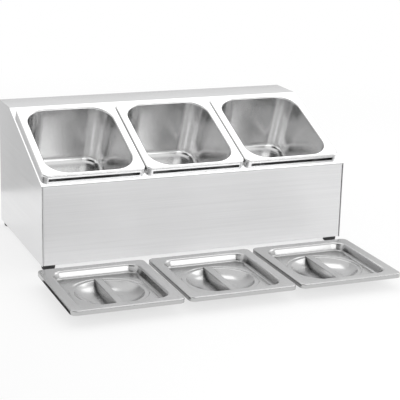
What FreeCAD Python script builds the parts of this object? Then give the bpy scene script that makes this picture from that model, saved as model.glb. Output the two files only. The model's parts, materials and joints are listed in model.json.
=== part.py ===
"""Sloped counter holder for three loose pans, with three lift-off lids, as a parametric document.

The holder is a welded sheet housing on four rubber feet. Its sloped deck has one long opening with two
cross bars, and each pan hangs in it by its rim. The lids lie in a row on the table in front.

Frame: +X to the right, +Y to the rear, +Z up, origin under the middle of the whole set, on the table.
"""
import FreeCAD
import Part
import math
import os
import Sketcher

# Where the pans and the lids lie in their row, in steps from the middle one
ROW = {"left": -1, "middle": 0, "right": 1}

# Where the feet stand: side of the holder's middle plane, and whether at the rear
FEET = {"front_left": (-1, 0), "front_right": (1, 0), "rear_left": (-1, 1), "rear_right": (1, 1)}

# Driving sizes in millimetres and degrees
SIZES = {
    # Pans, each a pressed tub with a flat rim and a turned-down skirt
    "pan_count": len(ROW),
    "pan_length": 176,
    "pan_width": 162,
    "pan_depth": 100,
    "pan_sheet": 0.8,
    "pan_corner": 10,
    "pan_gap": 1,
    "rim_side": 12.5,
    "rim_end": 7,
    "rim_rise": 8,
    "rim_bend": 2.4,
    "skirt_relief": 2.5,
    "mouth_corner": 34,
    "mouth_bend": 3,
    "tub_draft": 4,
    "tub_bend": 12,
    # Housing of bent sheet, sized around the pans
    "holder_sheet": 1,
    "side_ledge": 4,
    "front_ledge": 13,
    "rear_ledge": 15.5,
    "slope_angle": 22.7,
    "strip_depth": 67,
    "front_height": 131,
    "panel_bend": 3,
    "panel_return": 12,
    "bottom_flange": 25,
    "deck_corner": 12,
    "deck_bend": 2,
    "tub_clearance": 2.2,
    # Cross bars, channels between neighbouring tubs
    "bar_depth": 10,
    "bar_end_gap": 0.5,
    "bar_tab": 8,
    # Feet and their fasteners
    "foot_height": 8,
    "foot_radius": 11,
    "foot_taper": 1.2,
    "foot_edge": 1,
    "foot_inset": 12.5,
    "screw_radius": 2,
    "screw_head_radius": 3.75,
    "screw_head_height": 2.4,
    "screw_sink": 2,
    "screw_end": 1.5,
    "fastener_clearance": 0.25,
    "washer_radius": 4.5,
    "washer_thickness": 0.8,
    "nut_flats": 7,
    "nut_height": 3.2,
    # Lids, each one pressed sheet with the outline of a pan
    "lid_sheet": 0.8,
    "lid_corner": 9,
    "lid_skirt": 6.5,
    "lid_bend": 1.6,
    "recess_margin": 15.5,
    "recess_depth": 11,
    "recess_draft": 22,
    "recess_corner": 18,
    "recess_bend": 4,
    "ring_margin": 4.25,
    "ring_width": 7,
    "ring_slant": 1.4,
    "ring_step": 1,
    "dish_edge": 1.2,
    "well_depth": 12,
    "well_floor": 24,
    "grip_width": 11,
    "grip_rise": 1.5,
    "grip_draft": 14,
    "grip_overlap": 3,
    "grip_bend": 1.3,
    # Row of lids in front of the holder
    "lid_gap": 6.5,
    "lid_row_shift": -22,
    "lid_row_gap": 55,
}

# Sizes worked out from the driving ones, in the order in which they are needed
DERIVED = {
    "pan_pitch": "pan_width + pan_gap",
    "mouth_x": "pan_width / 2 - rim_side",
    "mouth_y": "pan_length / 2 - rim_end",
    "tub_wall": "pan_sheet / cos(tub_draft)",
    "tub_x": "mouth_x + tub_wall",
    "tub_y": "mouth_y + tub_wall",
    "tub_shrink": "pan_depth * tan(tub_draft)",
    "cavity_depth": "pan_depth - pan_sheet",
    "cavity_shrink": "cavity_depth * tan(tub_draft)",
    "holder_width": "pan_count * pan_width + (pan_count - 1) * pan_gap + 2 * side_ledge",
    "inner_width": "holder_width - 2 * holder_sheet",
    "slope_length": "front_ledge + pan_length + rear_ledge",
    "slope_run": "slope_length * cos(slope_angle)",
    "slope_rise": "slope_length * sin(slope_angle)",
    "holder_depth": "slope_run + strip_depth",
    "rear_height": "front_height + slope_rise",
    "deck_low_front": "front_height - holder_sheet / cos(slope_angle)",
    "deck_low_knee": "slope_run + holder_sheet * tan(slope_angle / 2)",
    "strip_low": "rear_height - holder_sheet",
    "pan_middle": "front_ledge + pan_length / 2",
    "deck_half": "(pan_count - 1) * pan_pitch / 2 + tub_x + tub_clearance",
    "deck_start": "pan_middle - tub_y - tub_clearance",
    "deck_end": "pan_middle + tub_y + tub_clearance",
    "bar_width": "pan_pitch - 2 * (tub_x + tub_clearance)",
    "foot_x": "holder_width / 2 - foot_inset",
    "flange_top": "foot_height + holder_sheet",
    "washer_top": "flange_top + washer_thickness",
    "nut_top": "washer_top + nut_height",
    "bore_radius": "screw_radius + fastener_clearance",
    "screw_seat": "screw_sink + screw_head_height",
    "recess_x": "pan_width / 2 - recess_margin",
    "recess_y": "pan_length / 2 - recess_margin",
    "recess_wall": "lid_sheet / cos(recess_draft)",
    "recess_shrink": "recess_depth * tan(recess_draft)",
    "ring_radius": "min(recess_x; recess_y) - recess_shrink - ring_margin",
    "dish_radius": "ring_radius - ring_width",
    "recess_floor": "lid_sheet + well_depth",
    "lid_rise": "recess_floor + recess_depth",
    "ring_land": "recess_floor - ring_step",
    "dish_under": "ring_land - lid_sheet",
    "scoop_run": "dish_radius - well_floor",
    "scoop_rise": "ring_land - lid_sheet",
    "scoop_radius": "(scoop_run ^ 2 + scoop_rise ^ 2) / (2 * scoop_rise)",
    "scoop_height": "lid_sheet + scoop_radius",
    "scoop_reach": "well_floor + sqrt(scoop_height ^ 2 - (scoop_height - dish_under) ^ 2)",
    "grip_top": "recess_floor + grip_rise",
    "grip_wall": "lid_sheet / cos(grip_draft)",
    "lid_pitch": "pan_width + lid_gap",
    "lid_row_half": "(pan_count - 1) * lid_pitch / 2 + pan_width / 2",
    "set_left": "min(-holder_width / 2; lid_row_shift - lid_row_half)",
    "set_right": "max(holder_width / 2; lid_row_shift + lid_row_half)",
    "holder_x": "-(set_left + set_right) / 2",
    "holder_y": "(lid_row_gap + pan_length - holder_depth) / 2",
    "lid_row_x": "holder_x + lid_row_shift",
    "lid_row_y": "holder_y - lid_row_gap - pan_length / 2",
}

# Distance within which a point counts as lying on an edge
NEAR = 0.01

doc = FreeCAD.newDocument("pan_holder")
sheet = doc.addObject("Spreadsheet::Sheet", "size")
for row, (alias, value) in enumerate(SIZES.items(), 1):
    sheet.set(f"A{row}", alias)
    sheet.set(f"B{row}", str(value))
    sheet.setAlias(f"B{row}", alias)
for row, (alias, formula) in enumerate(DERIVED.items(), len(SIZES) + 1):
    sheet.set(f"A{row}", alias)
    sheet.set(f"B{row}", f"={formula}")
    sheet.setAlias(f"B{row}", alias)
doc.recompute()


def number(text):
    """Present value of an expression over the sheet."""
    return float(sheet.evalExpression(text))


def new_body(label, x="0", y="0", z="0", tilt="0"):
    """A body of the document, placed by expressions and tilted about X."""
    body = doc.addObject("PartDesign::Body", label)
    body.Label = label
    body.Placement.Rotation = FreeCAD.Rotation(FreeCAD.Vector(1, 0, 0), number(tilt))
    for axis, text in (("x", x), ("y", y), ("z", z)):
        body.setExpression(f".Placement.Base.{axis}", text)
    if tilt != "0":
        body.setExpression(".Placement.Rotation.Angle", tilt)
    return body


def new_sketch(body, name, plane, lift="0"):
    """A sketch on one of the body's own planes, lifted off it along its normal."""
    sketch = body.newObject("Sketcher::SketchObject", f"{body.Name}_{name}")
    support = [item for item in body.Origin.OriginFeatures if item.Role == plane]
    sketch.AttachmentSupport = [(support[0], "")]
    sketch.MapMode = "FlatFace"
    if lift != "0":
        sketch.setExpression(".AttachmentOffset.Base.z", lift)
    return sketch


def tie(sketch, edge, end, kind, text):
    """Ties one coordinate of an edge's end to an expression."""
    if text == "0":
        axis = {"DistanceX": -2, "DistanceY": -1}[kind]
        sketch.addConstraint(Sketcher.Constraint("PointOnObject", edge, end, axis))
        return
    spot = sketch.addConstraint(Sketcher.Constraint(kind, -1, 1, edge, end, number(text)))
    sketch.setExpression(f"Constraints[{spot}]", text)


def add_outline(sketch, corners, arcs=None):
    """A closed chain of edges through corners given as pairs of expressions.

    An edge numbered in arcs is round about a centre, given with the coordinate of its far end, x or y,
    that the arc itself settles.
    """
    arcs = arcs or {}
    spots = [FreeCAD.Vector(number(x), number(y), 0) for x, y in corners]
    first = sketch.GeometryCount
    count = len(spots)
    ends = []
    for index, start in enumerate(spots):
        end = spots[(index + 1) % count]
        if index not in arcs:
            sketch.addGeometry(Part.LineSegment(start, end), False)
            ends.append((1, 2))
            continue
        centre = FreeCAD.Vector(*(number(text) for text in arcs[index][:2]), 0)
        leftward = (start - centre).cross(end - centre).z > 0
        angles = [math.atan2(spot.y - centre.y, spot.x - centre.x) for spot in (start, end)]
        circle = Part.Circle(centre, FreeCAD.Vector(0, 0, 1), (start - centre).Length)
        sketch.addGeometry(Part.ArcOfCircle(circle, *(angles if leftward else reversed(angles))), False)
        ends.append((1, 2) if leftward else (2, 1))
    for index, (x, y) in enumerate(corners):
        following = (index + 1) % count
        sketch.addConstraint(Sketcher.Constraint(
            "Coincident", first + index, ends[index][1], first + following, ends[following][0]))
        loose = arcs[index - 1][2] if index - 1 in arcs else ""
        for kind, text, axis in (("DistanceX", x, "x"), ("DistanceY", y, "y")):
            if axis != loose:
                tie(sketch, first + index, ends[index][0], kind, text)
        if index in arcs:
            tie(sketch, first + index, 3, "DistanceX", arcs[index][0])
            tie(sketch, first + index, 3, "DistanceY", arcs[index][1])


def add_rounded(sketch, left, right, low, high, corner):
    """A rectangle with round corners between four expressions."""
    x_min, x_max, y_min, y_max, radius = (number(text) for text in (left, right, low, high, corner))
    centres = [
        (x_max - radius, y_min + radius),
        (x_max - radius, y_max - radius),
        (x_min + radius, y_max - radius),
        (x_min + radius, y_min + radius),
    ]
    first = sketch.GeometryCount
    quarter = math.pi / 2
    for index, (x, y) in enumerate(centres):
        circle = Part.Circle(FreeCAD.Vector(x, y, 0), FreeCAD.Vector(0, 0, 1), radius)
        arc = Part.ArcOfCircle(circle, (index - 1) * quarter, index * quarter)
        following = centres[(index + 1) % 4]
        step = FreeCAD.Vector(following[0] - x, following[1] - y, 0)
        sketch.addGeometry(arc, False)
        sketch.addGeometry(Part.LineSegment(arc.EndPoint, arc.EndPoint + step), False)
    for index in range(8):
        following = first + (index + 1) % 8
        sketch.addConstraint(Sketcher.Constraint("Tangent", first + index, 2, following, 1))
    for index, text in ((1, right), (5, left)):
        sketch.addConstraint(Sketcher.Constraint("Vertical", first + index))
        tie(sketch, first + index, 1, "DistanceX", text)
    for index, text in ((3, high), (7, low)):
        sketch.addConstraint(Sketcher.Constraint("Horizontal", first + index))
        tie(sketch, first + index, 1, "DistanceY", text)
    for index in (2, 4, 6):
        sketch.addConstraint(Sketcher.Constraint("Equal", first, first + index))
    spot = sketch.addConstraint(Sketcher.Constraint("Radius", first, radius))
    sketch.setExpression(f"Constraints[{spot}]", corner)


def add_centred(sketch, half_x, half_y, corner):
    """A rectangle with round corners about the sketch's origin."""
    add_rounded(sketch, f"-({half_x})", half_x, f"-({half_y})", half_y, corner)


def add_circle(sketch, x, y, radius):
    """A circle placed by expressions."""
    centre = FreeCAD.Vector(number(x), number(y), 0)
    edge = sketch.addGeometry(Part.Circle(centre, FreeCAD.Vector(0, 0, 1), number(radius)), False)
    tie(sketch, edge, 3, "DistanceX", x)
    tie(sketch, edge, 3, "DistanceY", y)
    spot = sketch.addConstraint(Sketcher.Constraint("Radius", edge, number(radius)))
    sketch.setExpression(f"Constraints[{spot}]", radius)


def add_pad(sketch, length, side="One side", down=False, taper=None):
    """Raises the sketch into a solid of the given length."""
    body = sketch.getParentGeoFeatureGroup()
    pad = body.newObject("PartDesign::Pad", f"{sketch.Name}_pad")
    pad.Profile = sketch
    pad.SideType = side
    pad.Reversed = down
    pad.setExpression("Length", length)
    if taper:
        pad.setExpression("TaperAngle", taper)
    doc.recompute()
    return pad


def checked_cut(feature, before):
    """Recomputes and makes sure that the feature took material away."""
    doc.recompute()
    if feature.Shape.Volume >= before:
        raise RuntimeError(f"{feature.Name} cuts nothing")
    return feature


def add_pocket(sketch, length=None, taper=None):
    """Cuts the sketch down to a depth, or through everything on both sides of it."""
    body = sketch.getParentGeoFeatureGroup()
    before = body.Tip.Shape.Volume
    pocket = body.newObject("PartDesign::Pocket", f"{sketch.Name}_pocket")
    pocket.Profile = sketch
    if length:
        pocket.setExpression("Length", length)
    else:
        pocket.Type = "ThroughAll"
        pocket.SideType = "Symmetric"
    if taper:
        pocket.setExpression("TaperAngle", taper)
    return checked_cut(pocket, before)


def add_turned(sketch, kind):
    """Turns the sketch about its upright axis, as a Revolution or a Groove."""
    body = sketch.getParentGeoFeatureGroup()
    before = body.Tip.Shape.Volume if body.Tip else 0
    turned = body.newObject(f"PartDesign::{kind}", f"{sketch.Name}_turned")
    turned.Profile = sketch
    turned.ReferenceAxis = (sketch, ["V_Axis"])
    turned.Angle = 360
    if kind == "Groove":
        return checked_cut(turned, before)
    doc.recompute()
    return turned


def add_fillet(body, name, radius, chosen):
    """Rounds the edges of the body's last feature that the test picks."""
    base = body.Tip
    edges = [f"Edge{index}" for index, edge in enumerate(base.Shape.Edges, 1) if chosen(edge)]
    if not edges:
        raise RuntimeError(f"{body.Name}: no edge for {name}")
    fillet = body.newObject("PartDesign::Fillet", f"{body.Name}_{name}")
    fillet.Base = (base, edges)
    fillet.setExpression("Radius", radius)
    doc.recompute()
    return fillet


def on_loop(height, half_x, half_y, corner):
    """Test for edges of a level rounded rectangle about the Z axis, sized by expressions."""
    level, reach_x, reach_y, radius = (number(text) for text in (height, half_x, half_y, corner))

    def off_loop(point):
        """Distance of a point from the rounded rectangle."""
        if abs(point.z - level) > NEAR:
            return math.inf
        x = abs(point.x) - (reach_x - radius)
        y = abs(point.y) - (reach_y - radius)
        outside = math.hypot(max(x, 0), max(y, 0))
        return abs(outside + min(max(x, y), 0) - radius)

    return lambda edge: all(off_loop(point) < NEAR for point in edge.discretize(5))


def on_line(direction, **levels):
    """Test for straight edges along one axis at given coordinates, which may be of either sign."""
    wanted = {axis: [abs(number(text)) for text in texts] for axis, texts in levels.items()}

    def matches(point):
        """Whether each named coordinate of a point has one of its wanted values."""
        return all(any(abs(abs(getattr(point, axis)) - value) < NEAR for value in values)
                   for axis, values in wanted.items())

    def chosen(edge):
        """Whether an edge runs along the direction through matching points."""
        start, end = (edge.valueAt(end) for end in edge.ParameterRange)
        run = end - start
        along = abs(getattr(run, direction))
        return run.Length - along < NEAR < along and matches(start) and matches(end)

    return chosen


def on_level(height, radius):
    """Test for edges that lie all along at one height, within a radius of the Z axis."""
    level, reach = number(height), number(radius)
    return lambda edge: all(
        abs(point.z - level) < NEAR and math.hypot(point.x, point.y) < reach
        for point in edge.discretize(5))


def on_ring(height, radius):
    """Test for level round edges about the Z axis."""
    level, reach = number(height), number(radius)
    return lambda edge: all(
        abs(point.z - level) < NEAR and abs(math.hypot(point.x, point.y) - reach) < NEAR
        for point in edge.discretize(5))


# Housing


def housing_body(label):
    """A body in the holder's own frame: front face at zero depth, table at zero height."""
    return new_body(label, "size.holder_x", "size.holder_y")


def add_channel_wall(body, face, inward, top):
    """A bent wall between the side panels: its face, two returns and a bottom flange.

    The face lies at the depth given, and inward is the sign of the way into the housing.
    """
    half = "size.inner_width / 2"
    thin = f"({half} - size.holder_sheet)"
    back = f"({face} {inward} size.holder_sheet)"
    tail = f"({face} {inward} size.panel_return)"
    plan = new_sketch(body, "plan", "XY_Plane", "size.foot_height")
    right = [(half, face), (half, tail), (thin, tail), (thin, back)]
    left = [(f"-({x})", y) for x, y in reversed(right)]
    add_outline(plan, right + left)
    add_pad(plan, f"{top} - size.foot_height")
    flange = new_sketch(body, "flange", "XY_Plane", "size.foot_height")
    edge = f"({face} {inward} size.bottom_flange)"
    add_outline(flange, [(half, face), (half, edge), (f"-({half})", edge), (f"-({half})", face)])
    add_pad(flange, "size.holder_sheet")
    holes = new_sketch(body, "holes", "XY_Plane", "size.flange_top")
    for side in ("", "-"):
        add_circle(holes, f"{side}size.foot_x", f"({face} {inward} size.foot_inset)", "size.bore_radius")
    add_pocket(holes, "size.holder_sheet")


def round_channel_wall(body, face, inward):
    """Rounds the upright bends of a channel wall, outside and inside, and the outside of its bottom bend."""
    thin = "size.inner_width / 2 - size.holder_sheet"
    back = f"{face} {inward} size.holder_sheet"
    add_fillet(body, "outer_bends", "size.panel_bend", on_line("z", x=["size.inner_width / 2"], y=[face]))
    add_fillet(body, "inner_bends", "size.panel_bend - size.holder_sheet", on_line("z", x=[thin], y=[back]))
    add_fillet(body, "bottom_bend", "size.panel_bend", on_line("x", y=[face], z=["size.foot_height"]))


def make_front_panel():
    """Front sheet, its top edge cut along the underside of the sloped deck."""
    body = housing_body("front_panel")
    rise = "size.panel_return * tan(size.slope_angle)"
    add_channel_wall(body, "0", "+", f"(size.deck_low_front + {rise})")
    trim = new_sketch(body, "trim", "YZ_Plane")
    high = f"size.deck_low_front + 2 * {rise}"
    add_outline(trim, [
        ("-size.panel_return", f"size.deck_low_front - {rise}"),
        ("2 * size.panel_return", high),
        ("-size.panel_return", high),
    ])
    add_pocket(trim)
    round_channel_wall(body, "0", "+")
    return body


def make_back_panel():
    """Rear sheet, standing under the flat strip of the deck."""
    body = housing_body("back_panel")
    add_channel_wall(body, "size.holder_depth", "-", "size.strip_low")
    round_channel_wall(body, "size.holder_depth", "-")
    return body


def make_side_panel(label, side):
    """Five-sided end sheet with a flange turned in along its bottom edge."""
    body = housing_body(label)
    inner = f"{side}size.inner_width / 2"
    profile = new_sketch(body, "profile", "YZ_Plane", inner)
    add_outline(profile, [
        ("0", "size.foot_height"),
        ("size.holder_depth", "size.foot_height"),
        ("size.holder_depth", "size.strip_low"),
        ("size.deck_low_knee", "size.strip_low"),
        ("0", "size.deck_low_front"),
    ])
    add_pad(profile, "size.holder_sheet", down=side == "-")
    flange = new_sketch(body, "flange", "XY_Plane", "size.foot_height")
    edge = f"{side}(size.holder_width / 2 - size.bottom_flange)"
    start = "size.bottom_flange"
    end = "size.holder_depth - size.bottom_flange"
    add_outline(flange, [(inner, start), (inner, end), (edge, end), (edge, start)])
    add_pad(flange, "size.holder_sheet")
    return body


def slope_body(label, x="0", along="0"):
    """A body lying in the plane of the sloped deck, at a distance up the slope from its front edge."""
    return new_body(
        label,
        f"size.holder_x + {x}",
        f"size.holder_y + {along} * cos(size.slope_angle)",
        f"size.front_height + {along} * sin(size.slope_angle)",
        "size.slope_angle",
    )


def make_top_deck():
    """Bent sheet: the sloped frame with its long opening, and the flat strip behind its knee."""
    body = slope_body("top_deck")
    profile = new_sketch(body, "profile", "YZ_Plane")
    reach = "size.slope_length + size.strip_depth * cos(size.slope_angle)"
    drop = "-size.strip_depth * sin(size.slope_angle)"
    add_outline(profile, [
        ("0", "0"),
        ("size.slope_length", "0"),
        (reach, drop),
        (f"{reach} - size.holder_sheet * sin(size.slope_angle)",
         f"{drop} - size.holder_sheet * cos(size.slope_angle)"),
        ("size.slope_length - size.holder_sheet * tan(size.slope_angle / 2)", "-size.holder_sheet"),
        ("-size.holder_sheet * tan(size.slope_angle)", "-size.holder_sheet"),
    ])
    add_pad(profile, "size.holder_width", side="Symmetric")
    opening = new_sketch(body, "opening", "XY_Plane")
    add_rounded(opening, "-size.deck_half", "size.deck_half", "size.deck_start", "size.deck_end",
                "size.deck_corner")
    add_pocket(opening)
    add_fillet(body, "knee", "size.deck_bend + size.holder_sheet",
               on_line("x", y=["size.slope_length"], z=["0"]))
    return body


def make_cross_bar(label, seat):
    """Channel across the opening, level with the deck, with a tab under the deck at each end."""
    body = slope_body(label, f"{seat} * size.pan_pitch")
    half = "size.bar_width / 2"
    thin = f"({half} - size.holder_sheet)"
    low = "-size.bar_depth"
    right = [(half, "0"), (half, low), (thin, low), (thin, "-size.holder_sheet")]
    left = [(f"-({x})", y) for x, y in reversed(right)]
    section = new_sketch(body, "section", "XZ_Plane", "-size.pan_middle")
    add_outline(section, right + left)
    add_pad(section, "size.deck_end - size.deck_start - 2 * size.bar_end_gap", side="Symmetric")
    tabs = new_sketch(body, "tabs", "XY_Plane", "-size.holder_sheet")
    for start, sign in (("size.deck_start", "+"), ("size.deck_end", "-")):
        outer = f"{start} {'-' if sign == '+' else '+'} size.bar_tab"
        inner = f"{start} {sign} size.bar_tab"
        add_outline(tabs, [(f"-{thin}", outer), (thin, outer), (thin, inner), (f"-{thin}", inner)])
    add_pad(tabs, "size.holder_sheet", down=True)
    return body


# Feet and fasteners


def foot_place(side, rear):
    """Where a foot stands on the table, as expressions."""
    x = f"size.holder_x + {side} * size.foot_x"
    depth = "size.holder_depth - size.foot_inset" if rear else "size.foot_inset"
    return x, f"size.holder_y + {depth}"


def make_foot(label, x, y):
    """Round rubber foot with a sunk seat for its screw's head."""
    body = new_body(label, x, y)
    profile = new_sketch(body, "profile", "XZ_Plane")
    sunk = "size.screw_head_radius + size.fastener_clearance"
    add_outline(profile, [
        ("size.bore_radius", "size.screw_seat"),
        (sunk, "size.screw_seat"),
        (sunk, "0"),
        ("size.foot_radius - size.foot_taper - size.foot_edge", "0"),
        ("size.foot_radius - size.foot_taper", "size.foot_edge"),
        ("size.foot_radius", "size.foot_height"),
        ("size.bore_radius", "size.foot_height"),
    ])
    add_turned(profile, "Revolution")
    return body


def make_screw(label, x, y):
    """Pan-head screw up through the foot, the flange, the washer and the nut."""
    body = new_body(label, x, y)
    profile = new_sketch(body, "profile", "XZ_Plane")
    tip = "size.nut_top + size.screw_end"
    add_outline(profile, [
        ("0", "size.screw_seat - size.screw_head_height"),
        ("size.screw_head_radius", "size.screw_seat - size.screw_head_height"),
        ("size.screw_head_radius", "size.screw_seat"),
        ("size.screw_radius", "size.screw_seat"),
        ("size.screw_radius", tip),
        ("0", tip),
    ])
    add_turned(profile, "Revolution")
    return body


def make_washer(label, x, y):
    """Flat washer on the flange."""
    body = new_body(label, x, y)
    ring = new_sketch(body, "ring", "XY_Plane", "size.flange_top")
    add_circle(ring, "0", "0", "size.washer_radius")
    add_circle(ring, "0", "0", "size.bore_radius")
    add_pad(ring, "size.washer_thickness")
    return body


def make_nut(label, x, y):
    """Hexagon nut on the washer."""
    body = new_body(label, x, y)
    corner = "size.nut_flats / 2 / cos(30)"
    hexagon = new_sketch(body, "hexagon", "XY_Plane", "size.washer_top")
    add_outline(hexagon, [
        (corner, "0"),
        (f"{corner} / 2", "size.nut_flats / 2"),
        (f"-{corner} / 2", "size.nut_flats / 2"),
        (f"-{corner}", "0"),
        (f"-{corner} / 2", "-size.nut_flats / 2"),
        (f"{corner} / 2", "-size.nut_flats / 2"),
    ])
    add_circle(hexagon, "0", "0", "size.bore_radius")
    add_pad(hexagon, "size.nut_height")
    return body


def make_group(label, maker):
    """One of a fastener at each foot, as one group of separate solids."""
    group = doc.addObject("Part::Compound", label)
    group.Label = label
    group.Links = [maker(f"{label}_{place}", *foot_place(*spot)) for place, spot in FEET.items()]
    return group


# Pans


def make_pan(label, step):
    """Pressed pan hanging in the deck: a drafted tub, a flat rim and a skirt that stands on the deck.

    The skirt is relieved along both ends, so that the pan stands on its side skirts and corners.
    """
    body = slope_body(label, f"{step} * size.pan_pitch", "size.pan_middle")
    rim_x = "size.pan_width / 2"
    rim_y = "size.pan_length / 2"
    tub_corner = "size.mouth_corner + size.tub_wall"
    tub = new_sketch(body, "tub", "XY_Plane", "size.rim_rise")
    add_centred(tub, "size.tub_x", "size.tub_y", tub_corner)
    add_pad(tub, "size.pan_depth", down=True, taper="-size.tub_draft")
    rim = new_sketch(body, "rim", "XY_Plane", "size.rim_rise")
    add_centred(rim, rim_x, rim_y, "size.pan_corner")
    add_pad(rim, "size.pan_sheet", down=True)
    skirt = new_sketch(body, "skirt", "XY_Plane")
    add_centred(skirt, rim_x, rim_y, "size.pan_corner")
    add_centred(skirt, f"{rim_x} - size.pan_sheet", f"{rim_y} - size.pan_sheet",
                "size.pan_corner - size.pan_sheet")
    add_pad(skirt, "size.rim_rise")
    relief = new_sketch(body, "relief", "XY_Plane", "size.skirt_relief")
    reach = f"({rim_x} - size.pan_corner)"
    inner = f"({rim_y} - size.pan_sheet)"
    for side in ("", "-"):
        add_outline(relief, [
            (reach, f"{side}{inner}"),
            (reach, f"{side}({rim_y})"),
            (f"-{reach}", f"{side}({rim_y})"),
            (f"-{reach}", f"{side}{inner}"),
        ])
    add_pocket(relief, "size.skirt_relief")
    cavity = new_sketch(body, "cavity", "XY_Plane", "size.rim_rise")
    add_centred(cavity, "size.mouth_x", "size.mouth_y", "size.mouth_corner")
    add_pocket(cavity, "size.cavity_depth", taper="-size.tub_draft")
    add_fillet(body, "floor_inside", "size.tub_bend", on_loop(
        "size.rim_rise - size.cavity_depth", "size.mouth_x - size.cavity_shrink",
        "size.mouth_y - size.cavity_shrink", "size.mouth_corner - size.cavity_shrink"))
    add_fillet(body, "floor_outside", "size.tub_bend + size.pan_sheet", on_loop(
        "size.rim_rise - size.pan_depth", "size.tub_x - size.tub_shrink",
        "size.tub_y - size.tub_shrink", f"{tub_corner} - size.tub_shrink"))
    add_fillet(body, "mouth", "size.mouth_bend", on_loop(
        "size.rim_rise", "size.mouth_x", "size.mouth_y", "size.mouth_corner"))
    add_fillet(body, "rim_edge", "size.rim_bend", on_loop("size.rim_rise", rim_x, rim_y, "size.pan_corner"))
    add_fillet(body, "rim_hollow", "size.rim_bend - size.pan_sheet", on_loop(
        "size.rim_rise - size.pan_sheet", f"{rim_x} - size.pan_sheet", f"{rim_y} - size.pan_sheet",
        "size.pan_corner - size.pan_sheet"))
    return body


# Lids


# Centre of the scoop's round section, as the outline helper wants it
SCOOP_CENTRE = ("size.well_floor", "size.scoop_height")


def add_grip(body):
    """The grip bar across the dish: a drafted bar, cut off below along the underside of the dish."""
    section = new_sketch(body, "grip", "XZ_Plane")
    top = "size.grip_width / 2"
    foot = f"{top} + size.grip_top * tan(size.grip_draft)"
    add_outline(section, [
        (foot, "0"),
        (top, "size.grip_top"),
        (f"-({top})", "size.grip_top"),
        (f"-({foot})", "0"),
    ])
    add_pad(section, "2 * (size.dish_radius + size.grip_overlap)", side="Symmetric")
    add_fillet(body, "grip_edges", "size.grip_bend", on_level("size.grip_top", "size.ring_radius"))
    below = new_sketch(body, "below_dish", "XZ_Plane")
    add_outline(below, [
        ("size.well_floor", "0"),
        ("size.scoop_reach", "size.dish_under"),
        ("size.ring_radius", "size.dish_under"),
        ("size.ring_radius", "0"),
    ], {0: (*SCOOP_CENTRE, "x")})
    add_turned(below, "Groove")


def add_dish(body):
    """The round dish in even sheet: a step down to a narrow land, then a scoop down to a flat floor."""
    profile = new_sketch(body, "dish", "XZ_Plane")
    add_outline(profile, [
        ("0", "0"),
        ("size.well_floor", "0"),
        ("size.scoop_reach", "size.dish_under"),
        ("size.ring_radius", "size.dish_under"),
        ("size.ring_radius", "size.recess_floor"),
        ("size.ring_radius - size.ring_slant", "size.ring_land"),
        ("size.dish_radius", "size.ring_land"),
        ("size.well_floor", "size.lid_sheet"),
        ("0", "size.lid_sheet"),
    ], {1: (*SCOOP_CENTRE, "x"), 6: (*SCOOP_CENTRE, "y")})
    add_turned(profile, "Revolution")
    add_fillet(body, "dish_edge", "size.dish_edge", on_ring("size.ring_land", "size.dish_radius"))


def hollow_grip(body):
    """Opens the grip bar from below, so that it is a fold of the same sheet."""
    section = new_sketch(body, "fold", "XZ_Plane")
    roof = "size.grip_top - size.lid_sheet"
    top = "size.grip_width / 2 - size.grip_wall"
    foot = f"{top} + ({roof}) * tan(size.grip_draft)"
    add_outline(section, [(foot, "0"), (top, roof), (f"-({top})", roof), (f"-({foot})", "0")])
    before = body.Tip.Shape.Volume
    fold = body.newObject("PartDesign::Pocket", f"{section.Name}_pocket")
    fold.Profile = section
    fold.SideType = "Symmetric"
    fold.setExpression("Length", "2 * (size.dish_radius + size.grip_overlap - size.lid_sheet)")
    checked_cut(fold, before)


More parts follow.
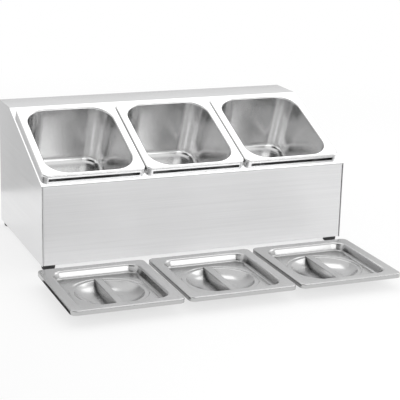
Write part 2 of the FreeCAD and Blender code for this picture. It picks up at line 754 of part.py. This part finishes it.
def make_lid(label, step):
    """Pressed lid: a flange with a skirt, a sunk panel, and a round dish with a grip bar across it."""
    body = new_body(label, f"size.lid_row_x + {step} * size.lid_pitch", "size.lid_row_y")
    rim_x = "size.pan_width / 2"
    rim_y = "size.pan_length / 2"
    wall_corner = "size.recess_corner + size.recess_wall"
    tub = new_sketch(body, "tub", "XY_Plane", "size.lid_rise")
    add_centred(tub, "size.recess_x + size.recess_wall", "size.recess_y + size.recess_wall", wall_corner)
    add_pad(tub, "size.recess_depth + size.lid_sheet", down=True, taper="-size.recess_draft")
    flange = new_sketch(body, "flange", "XY_Plane", "size.lid_rise")
    add_centred(flange, rim_x, rim_y, "size.lid_corner")
    add_pad(flange, "size.lid_sheet", down=True)
    skirt = new_sketch(body, "skirt", "XY_Plane", "size.lid_rise")
    add_centred(skirt, rim_x, rim_y, "size.lid_corner")
    add_centred(skirt, f"{rim_x} - size.lid_sheet", f"{rim_y} - size.lid_sheet",
                "size.lid_corner - size.lid_sheet")
    add_pad(skirt, "size.lid_skirt", down=True)
    recess = new_sketch(body, "recess", "XY_Plane", "size.lid_rise")
    add_centred(recess, "size.recess_x", "size.recess_y", "size.recess_corner")
    add_pocket(recess, "size.recess_depth", taper="-size.recess_draft")
    add_fillet(body, "panel_edge", "size.recess_bend", on_loop(
        "size.recess_floor", "size.recess_x - size.recess_shrink", "size.recess_y - size.recess_shrink",
        "size.recess_corner - size.recess_shrink"))
    add_fillet(body, "recess_edge", "size.recess_bend", on_loop(
        "size.lid_rise", "size.recess_x", "size.recess_y", "size.recess_corner"))
    add_fillet(body, "flange_edge", "size.lid_bend", on_loop(
        "size.lid_rise", rim_x, rim_y, "size.lid_corner"))
    under = "size.recess_floor - size.lid_sheet"
    shrink = "(size.recess_depth + size.lid_sheet) * tan(size.recess_draft)"
    add_fillet(body, "panel_underside", "size.recess_bend + size.lid_sheet", on_loop(
        under, f"size.recess_x + size.recess_wall - {shrink}", f"size.recess_y + size.recess_wall - {shrink}",
        f"{wall_corner} - {shrink}"))
    hole = new_sketch(body, "hole", "XY_Plane", "size.recess_floor")
    add_circle(hole, "0", "0", "size.ring_radius")
    add_pocket(hole, "size.lid_sheet")
    add_grip(body)
    add_dish(body)
    hollow_grip(body)
    return body


def sub_parts():
    """Builds every sub-part of the set."""
    parts = [
        make_front_panel(),
        make_side_panel("left_side_panel", "-"),
        make_side_panel("right_side_panel", ""),
        make_back_panel(),
        make_top_deck(),
        make_cross_bar("left_cross_bar", "-1 / 2"),
        make_cross_bar("right_cross_bar", "1 / 2"),
    ]
    parts += [make_foot(f"{place}_foot", *foot_place(*spot)) for place, spot in FEET.items()]
    parts += [
        make_group("foot_screws", make_screw),
        make_group("foot_washers", make_washer),
        make_group("foot_nuts", make_nut),
    ]
    parts += [make_pan(f"{place}_pan", step) for place, step in ROW.items()]
    parts += [make_lid(f"{place}_lid", step) for place, step in ROW.items()]
    return parts


def write_parts(parts):
    """Makes sure that every object is sound, then writes each sub-part to its own file."""
    doc.recompute()
    for item in doc.Objects:
        if "Invalid" in item.State or "Error" in item.State:
            raise RuntimeError(f"{item.Label} failed")
    for item in parts:
        if item.Shape.isNull() or not item.Shape.isValid():
            raise RuntimeError(f"{item.Label} has no sound shape")
    os.makedirs("parts", exist_ok=True)
    for item in parts:
        item.Shape.exportStep(f"parts/{item.Label}.step")
        print(item.Label, len(item.Shape.Solids), round(item.Shape.Volume))


write_parts(sub_parts())
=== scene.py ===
"""Looks of the pan holder: brushed housing, bright pans, satin lids and rubber feet in a white studio."""

import json
import math

import bpy
from mathutils import Matrix, Vector

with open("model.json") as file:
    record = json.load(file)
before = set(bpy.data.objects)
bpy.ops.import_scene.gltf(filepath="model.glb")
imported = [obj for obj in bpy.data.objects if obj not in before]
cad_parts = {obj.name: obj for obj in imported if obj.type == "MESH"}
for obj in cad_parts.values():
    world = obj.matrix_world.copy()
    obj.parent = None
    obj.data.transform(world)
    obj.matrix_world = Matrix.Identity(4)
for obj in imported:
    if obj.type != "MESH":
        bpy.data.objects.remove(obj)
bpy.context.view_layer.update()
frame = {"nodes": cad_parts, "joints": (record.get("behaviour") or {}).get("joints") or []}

ROW = ("left", "middle", "right")
MM = 0.001
UPWARD = (0, 0, 1)
WHITE = (1, 1, 1, 1)

# Camera, in degrees, metres and pixels of a square frame
FRAME_PX = 400
FOCAL_PX = 1282.1
SENSOR = 36
CAMERA_AZIMUTH = 22.394
CAMERA_ELEVATION = 15.949
CAMERA_ROLL = 1.473
CAMERA_PLACE = (-0.7073, -1.7616, 0.6308)

# Slope of the deck, read from the direction in which the pans lift
LIFT = next(joint["axis"] for joint in frame["joints"] if joint["name"] == "middle_pan_lift")
SLOPE = math.atan2(-LIFT[1], LIFT[2])
UPHILL = (0, math.cos(SLOPE), math.sin(SLOPE))

# Span that holds most of a noise texture's values
NOISE_LOW = 0.3
NOISE_HIGH = 0.7

# Openness of a hollow at which its shade is deepest, and at which it ends
HOLLOW_DEEP = 0.5
HOLLOW_CLEAR = 0.88
HOLLOW_SAMPLES = 8

# Match of the softened and the flat normal at which an edge gets its full painted shade, and at which it gets
# none
EDGE_FULLY_SHADED = 0.8
EDGE_CLEAR = 0.99
PAINTED_EDGE_SAMPLES = 6
RELIEF_SAMPLES = 4

# Brushed sheet: grain sizes in metres, and how far each pattern changes the shade and the roughness
BRUSHED_ALONG_X = (0.06, 0.0007, 0.0007)
BRUSHED_ALONG_Y = (0.0007, 0.06, 0.0007)
BAND_WIDENING = 4
HANDLING_GRAIN = (0.09, 0.09, 0.09)
LINE_SHADE = (0.965, 1.02)
BAND_SHADE = (0.98, 1.015)
HANDLING_SHADE = (0.98, 1.01)
LINE_ROUGHNESS = (0.88, 1.14)
HANDLING_ROUGHNESS = (0.9, 1.12)
# Painted shade along sharp edges: how far it reaches, and the shade at the edge
PAINTED_EDGE_REACH = 1.0 * MM
PAINTED_EDGE_SHADE = 0.93
LINE_DEPTH = 0.004 * MM
SHEET_EDGE = 0.2 * MM

# Pressed sheet
SATIN_GRAIN = (0.0005, 0.0005, 0.0005)
WAVE_GRAIN = (0.03, 0.03, 0.03)
CLOUD_GRAIN = (0.05, 0.05, 0.05)
SATIN_SHADE = (0.975, 1.015)
CLOUD_SHADE = (0.975, 1.015)
SATIN_ROUGHNESS = (0.92, 1.1)
CLOUD_ROUGHNESS = (0.9, 1.15)
WAVE_SHARE = 3.0
SATIN_DEPTH = 0.003 * MM
PRESSED_EDGE = 0.3 * MM

# Rubber
RUBBER_COLOUR = (0.02, 0.02, 0.021)
RUBBER_GRAIN = (0.0006, 0.0006, 0.0006)
DUST_GRAIN = (0.006, 0.006, 0.006)
RUBBER_SHADE = (0.85, 1.15)
DUST_SHADE = (0.85, 1.5)
RUBBER_ROUGHNESS = (0.62, 0.8)
RUBBER_DEPTH = 0.05 * MM
RUBBER_EDGE = 0.4 * MM

# Studio: strength of the world's light, and the floor's size, colour and white in metres and shares
WORLD_LIGHT = 0.8
FLOOR_SIZE = 12.0
FLOOR_COLOUR = (0.95, 0.95, 0.95, 1)
FLOOR_ROUGHNESS = 0.9
FLOOR_WHITE_NEAR = 0.7
FLOOR_FADE_START = 0.7
FLOOR_FADE_END = 1.6


class Finish:
    """A procedural material that is put together node by node."""

    def __init__(self, name):
        """A new material with its plain surface shader."""
        self.material = bpy.data.materials.new(name)
        self.material.use_nodes = True
        self.tree = self.material.node_tree
        self.surface = self.tree.nodes["Principled BSDF"]

    def feed(self, node, socket, value):
        """Sets an input, or links it to another node's output."""
        if isinstance(value, bpy.types.NodeSocket):
            self.tree.links.new(value, node.inputs[socket])
        else:
            node.inputs[socket].default_value = value

    def node(self, kind, inputs, **settings):
        """Adds a node with its settings and inputs."""
        made = self.tree.nodes.new(f"ShaderNode{kind}")
        for setting, value in settings.items():
            setattr(made, setting, value)
        for socket, value in inputs.items():
            self.feed(made, socket, value)
        return made

    def set(self, **inputs):
        """Sets or links inputs of the surface, by their names with underscores for spaces."""
        for socket, value in inputs.items():
            self.feed(self.surface, socket.replace("_", " "), value)

    def noise(self, grain, detail, tilt=0.0):
        """Noise whose grains have the given size in metres along each axis of a frame tilted about X."""
        place = self.node("TexCoord", {}).outputs["Object"]
        turned = self.node("Mapping", {"Vector": place, "Rotation": (-tilt, 0, 0)}).outputs["Vector"]
        scaled = self.node("Mapping", {"Vector": turned, "Scale": [1 / size for size in grain]})
        texture = self.node("TexNoise", {"Vector": scaled.outputs["Vector"], "Scale": 1.0, "Detail": detail})
        return texture.outputs["Fac"]

    def between(self, value, start, end, low, high):
        """Value carried from one span to another and held at its ends."""
        limits = {"From Min": start, "From Max": end, "To Min": low, "To Max": high}
        return self.node("MapRange", {"Value": value, **limits}).outputs["Result"]

    def spread(self, noise, limits):
        """Noise spread between two limits."""
        return self.between(noise, NOISE_LOW, NOISE_HIGH, *limits)

    def math(self, operation, first, second):
        """Joins two values."""
        made = self.node("Math", {}, operation=operation)
        for index, value in enumerate((first, second)):
            self.feed(made, index, value)
        return made.outputs["Value"]

    def product(self, first, *others):
        """Product of values."""
        for value in others:
            first = self.math("MULTIPLY", first, value)
        return first

    def tone(self, colour, shade):
        """A colour times a value that varies over the surface."""
        made = self.node("VectorMath", {0: colour, 1: shade}, operation="MULTIPLY")
        return made.outputs["Vector"]

    def hollow(self, reach, dark):
        """Shade of hollows that less light gets into: one in the open, and dark deep inside."""
        open_part = self.node("AmbientOcclusion", {"Distance": reach}, samples=HOLLOW_SAMPLES).outputs["AO"]
        return self.between(open_part, HOLLOW_DEEP, HOLLOW_CLEAR, dark, 1.0)

    def painted_edge_shade(self, reach, shade):
        """Painted shade along sharp edges: one on the flat, and the shade given at an edge."""
        soft = self.node("Bevel", {"Radius": reach}, samples=PAINTED_EDGE_SAMPLES).outputs["Normal"]
        flat = self.node("NewGeometry", {}).outputs["Normal"]
        match = self.node("VectorMath", {0: soft, 1: flat}, operation="DOT_PRODUCT").outputs["Value"]
        return self.between(match, EDGE_FULLY_SHADED, EDGE_CLEAR, shade, 1.0)

    def relief(self, height, depth, edge):
        """Surface normal with fine relief of the given depth, and with edges rounded by a small radius."""
        bevel = self.node("Bevel", {"Radius": edge}, samples=RELIEF_SAMPLES).outputs["Normal"]
        bump = self.node("Bump", {"Height": height, "Distance": depth, "Strength": 1.0, "Normal": bevel})
        return bump.outputs["Normal"]


def brushed_steel(name, colour, grain, roughness, stretch, amount, tilt=0.0):
    """Sheet with fine brush lines, wider soft bands, faint clouds from handling, and painted shade along
    sharp edges.

    The grain gives the size of a brush line along each axis. Highlights stretch along the direction given,
    by the amount given.
    """
    finish = Finish(name)
    lines = finish.noise(grain, 3.0, tilt)
    bands = finish.noise([BAND_WIDENING * size for size in grain], 1.0, tilt)
    handling = finish.noise(HANDLING_GRAIN, 3.0)
    shade = finish.product(
        finish.spread(lines, LINE_SHADE),
        finish.spread(bands, BAND_SHADE),
        finish.spread(handling, HANDLING_SHADE),
        # painted shade along sharp edges
        finish.painted_edge_shade(PAINTED_EDGE_REACH, PAINTED_EDGE_SHADE),
    )
    rough = finish.product(
        finish.spread(lines, LINE_ROUGHNESS), finish.spread(handling, HANDLING_ROUGHNESS), roughness)
    finish.set(
        Base_Color=finish.tone(colour, shade),
        Metallic=1.0,
        Roughness=rough,
        Anisotropic=amount,
        Tangent=finish.node("CombineXYZ", dict(zip("XYZ", stretch))).outputs["Vector"],
        Normal=finish.relief(lines, LINE_DEPTH, SHEET_EDGE),
    )
    return finish.material


def pressed_steel(name, colour, roughness, reach, dark, tilt=0.0):
    """Pressed sheet with a very fine satin grain and slight waviness from the press.

    Hollows within the reach given are shaded down to dark.
    """
    finish = Finish(name)
    grain = finish.noise(SATIN_GRAIN, 3.0)
    wave = finish.noise(WAVE_GRAIN, 1.0, tilt)
    clouds = finish.noise(CLOUD_GRAIN, 4.0)
    shade = finish.product(
        finish.spread(grain, SATIN_SHADE), finish.spread(clouds, CLOUD_SHADE), finish.hollow(reach, dark))
    rough = finish.product(
        finish.spread(grain, SATIN_ROUGHNESS), finish.spread(clouds, CLOUD_ROUGHNESS), roughness)
    height = finish.math("ADD", finish.product(wave, WAVE_SHARE), grain)
    finish.set(
        Base_Color=finish.tone(colour, shade),
        Metallic=1.0,
        Roughness=rough,
        Normal=finish.relief(height, SATIN_DEPTH, PRESSED_EDGE),
    )
    return finish.material


def foot_rubber(name):
    """Matt black moulded rubber with a fine texture and a little dust."""
    finish = Finish(name)
    grain = finish.noise(RUBBER_GRAIN, 4.0)
    dust = finish.noise(DUST_GRAIN, 4.0)
    shade = finish.product(finish.spread(grain, RUBBER_SHADE), finish.spread(dust, DUST_SHADE))
    finish.set(
        Base_Color=finish.tone(RUBBER_COLOUR, shade),
        Roughness=finish.spread(grain, RUBBER_ROUGHNESS),
        Normal=finish.relief(grain, RUBBER_DEPTH, RUBBER_EDGE),
    )
    return finish.material


def dress_nodes():
    """Gives every CAD node its finish."""
    # The holder is one steel: these three base colours are painted light and shade per face, brighter on the
    # front, back and cross bars, darker on the deck, between on the sides
    across = brushed_steel("holder_steel_across", colour=(0.88, 0.88, 0.885), grain=BRUSHED_ALONG_X,
                           roughness=0.5, stretch=UPWARD, amount=0.7)
    deck = brushed_steel("holder_steel_deck", colour=(0.70, 0.70, 0.705), grain=BRUSHED_ALONG_X,
                         roughness=0.18, stretch=UPHILL, amount=0.3, tilt=SLOPE)
    side = brushed_steel("holder_steel_side", colour=(0.77, 0.77, 0.775), grain=BRUSHED_ALONG_Y,
                         roughness=0.2, stretch=UPWARD, amount=0.3)
    pan = pressed_steel("pan_steel", colour=(0.76, 0.76, 0.76), roughness=0.2,
                        reach=30 * MM, dark=0.85, tilt=SLOPE)
    # The lids' darker base colour is painted shade, and their hollows within 15 mm get deep painted shade
    lid = pressed_steel("lid_steel", colour=(0.54, 0.54, 0.54), roughness=0.2, reach=15 * MM, dark=0.04)
    fastener = pressed_steel("fastener_steel", colour=(0.6, 0.6, 0.61), roughness=0.3,
                             reach=4 * MM, dark=0.6)
    rubber = foot_rubber("foot_rubber")
    finishes = {
        "front_panel": across,
        "back_panel": across,
        "top_deck": deck,
        "left_side_panel": side,
        "right_side_panel": side,
        "left_cross_bar": across,
        "right_cross_bar": across,
        "foot_screws": fastener,
        "foot_washers": fastener,
        "foot_nuts": fastener,
    }
    finishes |= {f"{place}_pan": pan for place in ROW}
    finishes |= {f"{place}_lid": lid for place in ROW}
    finishes |= {f"{end}_{hand}_foot": rubber for end in ("front", "rear") for hand in ("left", "right")}
    for node, material in finishes.items():
        slots = frame["nodes"][node].data.materials
        slots.clear()
        slots.append(material)


def is_seen(tree):
    """One for camera, mirror and see-through rays, and zero for light that spreads."""
    path = tree.nodes.new("ShaderNodeLightPath")
    total = path.outputs["Is Camera Ray"]
    for name in ("Is Glossy Ray", "Is Transmission Ray"):
        larger = tree.nodes.new("ShaderNodeMath")
        larger.operation = "MAXIMUM"
        tree.links.new(total, larger.inputs[0])
        tree.links.new(path.outputs[name], larger.inputs[1])
        total = larger.outputs["Value"]
    return total


def make_world():
    """White surroundings that light the object at a plain level."""
    world = bpy.data.worlds.new("studio")
    bpy.context.scene.world = world
    world.use_nodes = True
    tree = world.node_tree
    background = tree.nodes["Background"]
    background.inputs["Color"].default_value = WHITE
    strength = tree.nodes.new("ShaderNodeMapRange")
    strength.inputs["To Min"].default_value = WORLD_LIGHT
    strength.inputs["To Max"].default_value = 1.0
    tree.links.new(is_seen(tree), strength.inputs["Value"])
    tree.links.new(strength.outputs["Result"], background.inputs["Strength"])


def make_sheet(finish, width, height):
    """Flat rectangle of the stage, with the finish given and named as it is."""
    name = finish.material.name
    mesh = bpy.data.meshes.new(name)
    x, y = width / 2, height / 2
    mesh.from_pydata([(-x, -y, 0), (x, -y, 0), (x, y, 0), (-x, y, 0)], [], [(0, 1, 2, 3)])
    mesh.materials.append(finish.material)
    sheet = bpy.data.objects.new(name, mesh)
    bpy.context.scene.collection.objects.link(sheet)
    return sheet


def make_floor():
    """Plain pale floor that keeps a light shadow near the object and fades to white further out."""
    finish = Finish("floor")
    finish.set(Base_Color=FLOOR_COLOUR, Roughness=FLOOR_ROUGHNESS, Specular_IOR_Level=0.0)
    place = finish.node("TexCoord", {}).outputs["Object"]
    distance = finish.node("VectorMath", {0: place}, operation="LENGTH").outputs["Value"]
    limits = {"From Min": FLOOR_FADE_START, "From Max": FLOOR_FADE_END, "To Min": FLOOR_WHITE_NEAR}
    fade = finish.node("MapRange", {"Value": distance, **limits}, interpolation_type="SMOOTHSTEP")
    white = finish.node("Emission", {"Color": WHITE, "Strength": 1.0}).outputs["Emission"]
    shown = finish.product(fade.outputs["Result"], is_seen(finish.tree))
    mix = finish.node("MixShader", {"Fac": shown, 1: finish.surface.outputs["BSDF"], 2: white})
    finish.feed(finish.tree.nodes["Material Output"], "Surface", mix.outputs["Shader"])
    floor = make_sheet(finish, FLOOR_SIZE, FLOOR_SIZE)


def facing(aim, direction, distance):
    """Placing that faces a point from a direction and a distance."""
    way = Vector(direction).normalized()
    turn = way.to_track_quat("Z", "Y").to_matrix().to_4x4()
    return Matrix.Translation(Vector(aim) + distance * way) @ turn


def make_softbox(name, radiance, aim, direction, distance, width, height):
    """Soft light that faces a point from a direction, as bright as the radiance given."""
    light = bpy.data.lights.new(name, "AREA")
    light.shape = "RECTANGLE"
    light.size = width
    light.size_y = height
    light.energy = radiance * math.pi * width * height
    lamp = bpy.data.objects.new(name, light)
    lamp.matrix_world = facing(aim, direction, distance)
    lamp.visible_camera = False
    bpy.context.scene.collection.objects.link(lamp)


def make_glowing_card(name, shade, aim, direction, distance, width, height):
    """Glowing sheet, no lamp, that faces a point from a direction and shows only in reflections; its glow, as
    strong as the shade given, paints the reflection of a grey card.
    """
    finish = Finish(name)
    finish.set(Base_Color=(0, 0, 0, 1), Specular_IOR_Level=0.0, Emission_Color=WHITE, Emission_Strength=shade)
    card = make_sheet(finish, width, height)
    card.matrix_world = facing(aim, direction, distance)
    card.visible_camera = False
    card.visible_diffuse = False
    card.visible_shadow = False


def make_studio():
    """World, floor, lights and glowing cards that paint reflections, placed in metres."""
    make_world()
    make_floor()
    make_softbox("overhead_softbox", radiance=1.1, aim=(0, 0.1, 0.17), direction=(0.366, 0.428, 0.8265),
                 distance=1.3, width=1.0, height=1.0)
    make_softbox("front_softbox", radiance=1.6, aim=(0, -0.15, 0.02), direction=(0.22, -0.88, 0.43),
                 distance=0.7, width=0.8, height=0.21)
    make_softbox("fill_softbox", radiance=1.1, aim=(0, -0.1, 0.05), direction=(0.9, -0.1, 0.6),
                 distance=1.9, width=1.2, height=1.2)
    # Dark and grey glowing cards paint reflections on the metal: dark wells and walls on the lids, tones on
    # the panels
    make_glowing_card("left_card", shade=0.04, aim=(0, -0.15, 0), direction=(-0.6, -0.46, 0.76),
              distance=1.5, width=1.3, height=0.9)
    # Dark sheet on the floor beside and under the left lid: painted shade, shown as a dark reflection in its
    # left skirt
    make_glowing_card("left_lid_shade_card", shade=0.04, aim=(-0.28, -0.135, 0), direction=(0, 0, 1),
              distance=0.0005, width=0.035, height=0.17)
    make_glowing_card("front_card", shade=0.15, aim=(0.25, 0, 0.07), direction=(0, -1, 0),
              distance=0.52, width=1.2, height=0.14)
    make_glowing_card("side_card", shade=0.62, aim=(-0.75, 0, 0.25), direction=(0, 1, 0),
              distance=0.43, width=0.9, height=0.5)
    make_glowing_card("back_card", shade=0.68, aim=(-0.1, 0, 0.13), direction=(0, 1, 0),
              distance=0.437, width=2.0, height=0.26)


def make_camera():
    """Camera at the photograph's place and angle."""
    azimuth = math.radians(CAMERA_AZIMUTH)
    elevation = math.radians(CAMERA_ELEVATION)
    roll = math.radians(CAMERA_ROLL)
    level = math.cos(elevation)
    ahead = Vector((math.sin(azimuth) * level, math.cos(azimuth) * level, -math.sin(elevation)))
    right = Vector((math.cos(azimuth), -math.sin(azimuth), 0))
    up = right.cross(ahead)
    across = math.cos(roll) * right + math.sin(roll) * up
    upward = math.cos(roll) * up - math.sin(roll) * right
    data = bpy.data.cameras.new("camera")
    data.sensor_width = SENSOR
    data.lens = SENSOR * FOCAL_PX / FRAME_PX
    camera = bpy.data.objects.new("camera", data)
    turn = Matrix((across, upward, -ahead)).transposed().to_4x4()
    camera.matrix_world = Matrix.Translation(CAMERA_PLACE) @ turn
    bpy.context.scene.collection.objects.link(camera)
    bpy.context.scene.camera = camera


dress_nodes()
make_studio()
make_camera()
bpy.context.scene.view_settings.view_transform = "Standard"
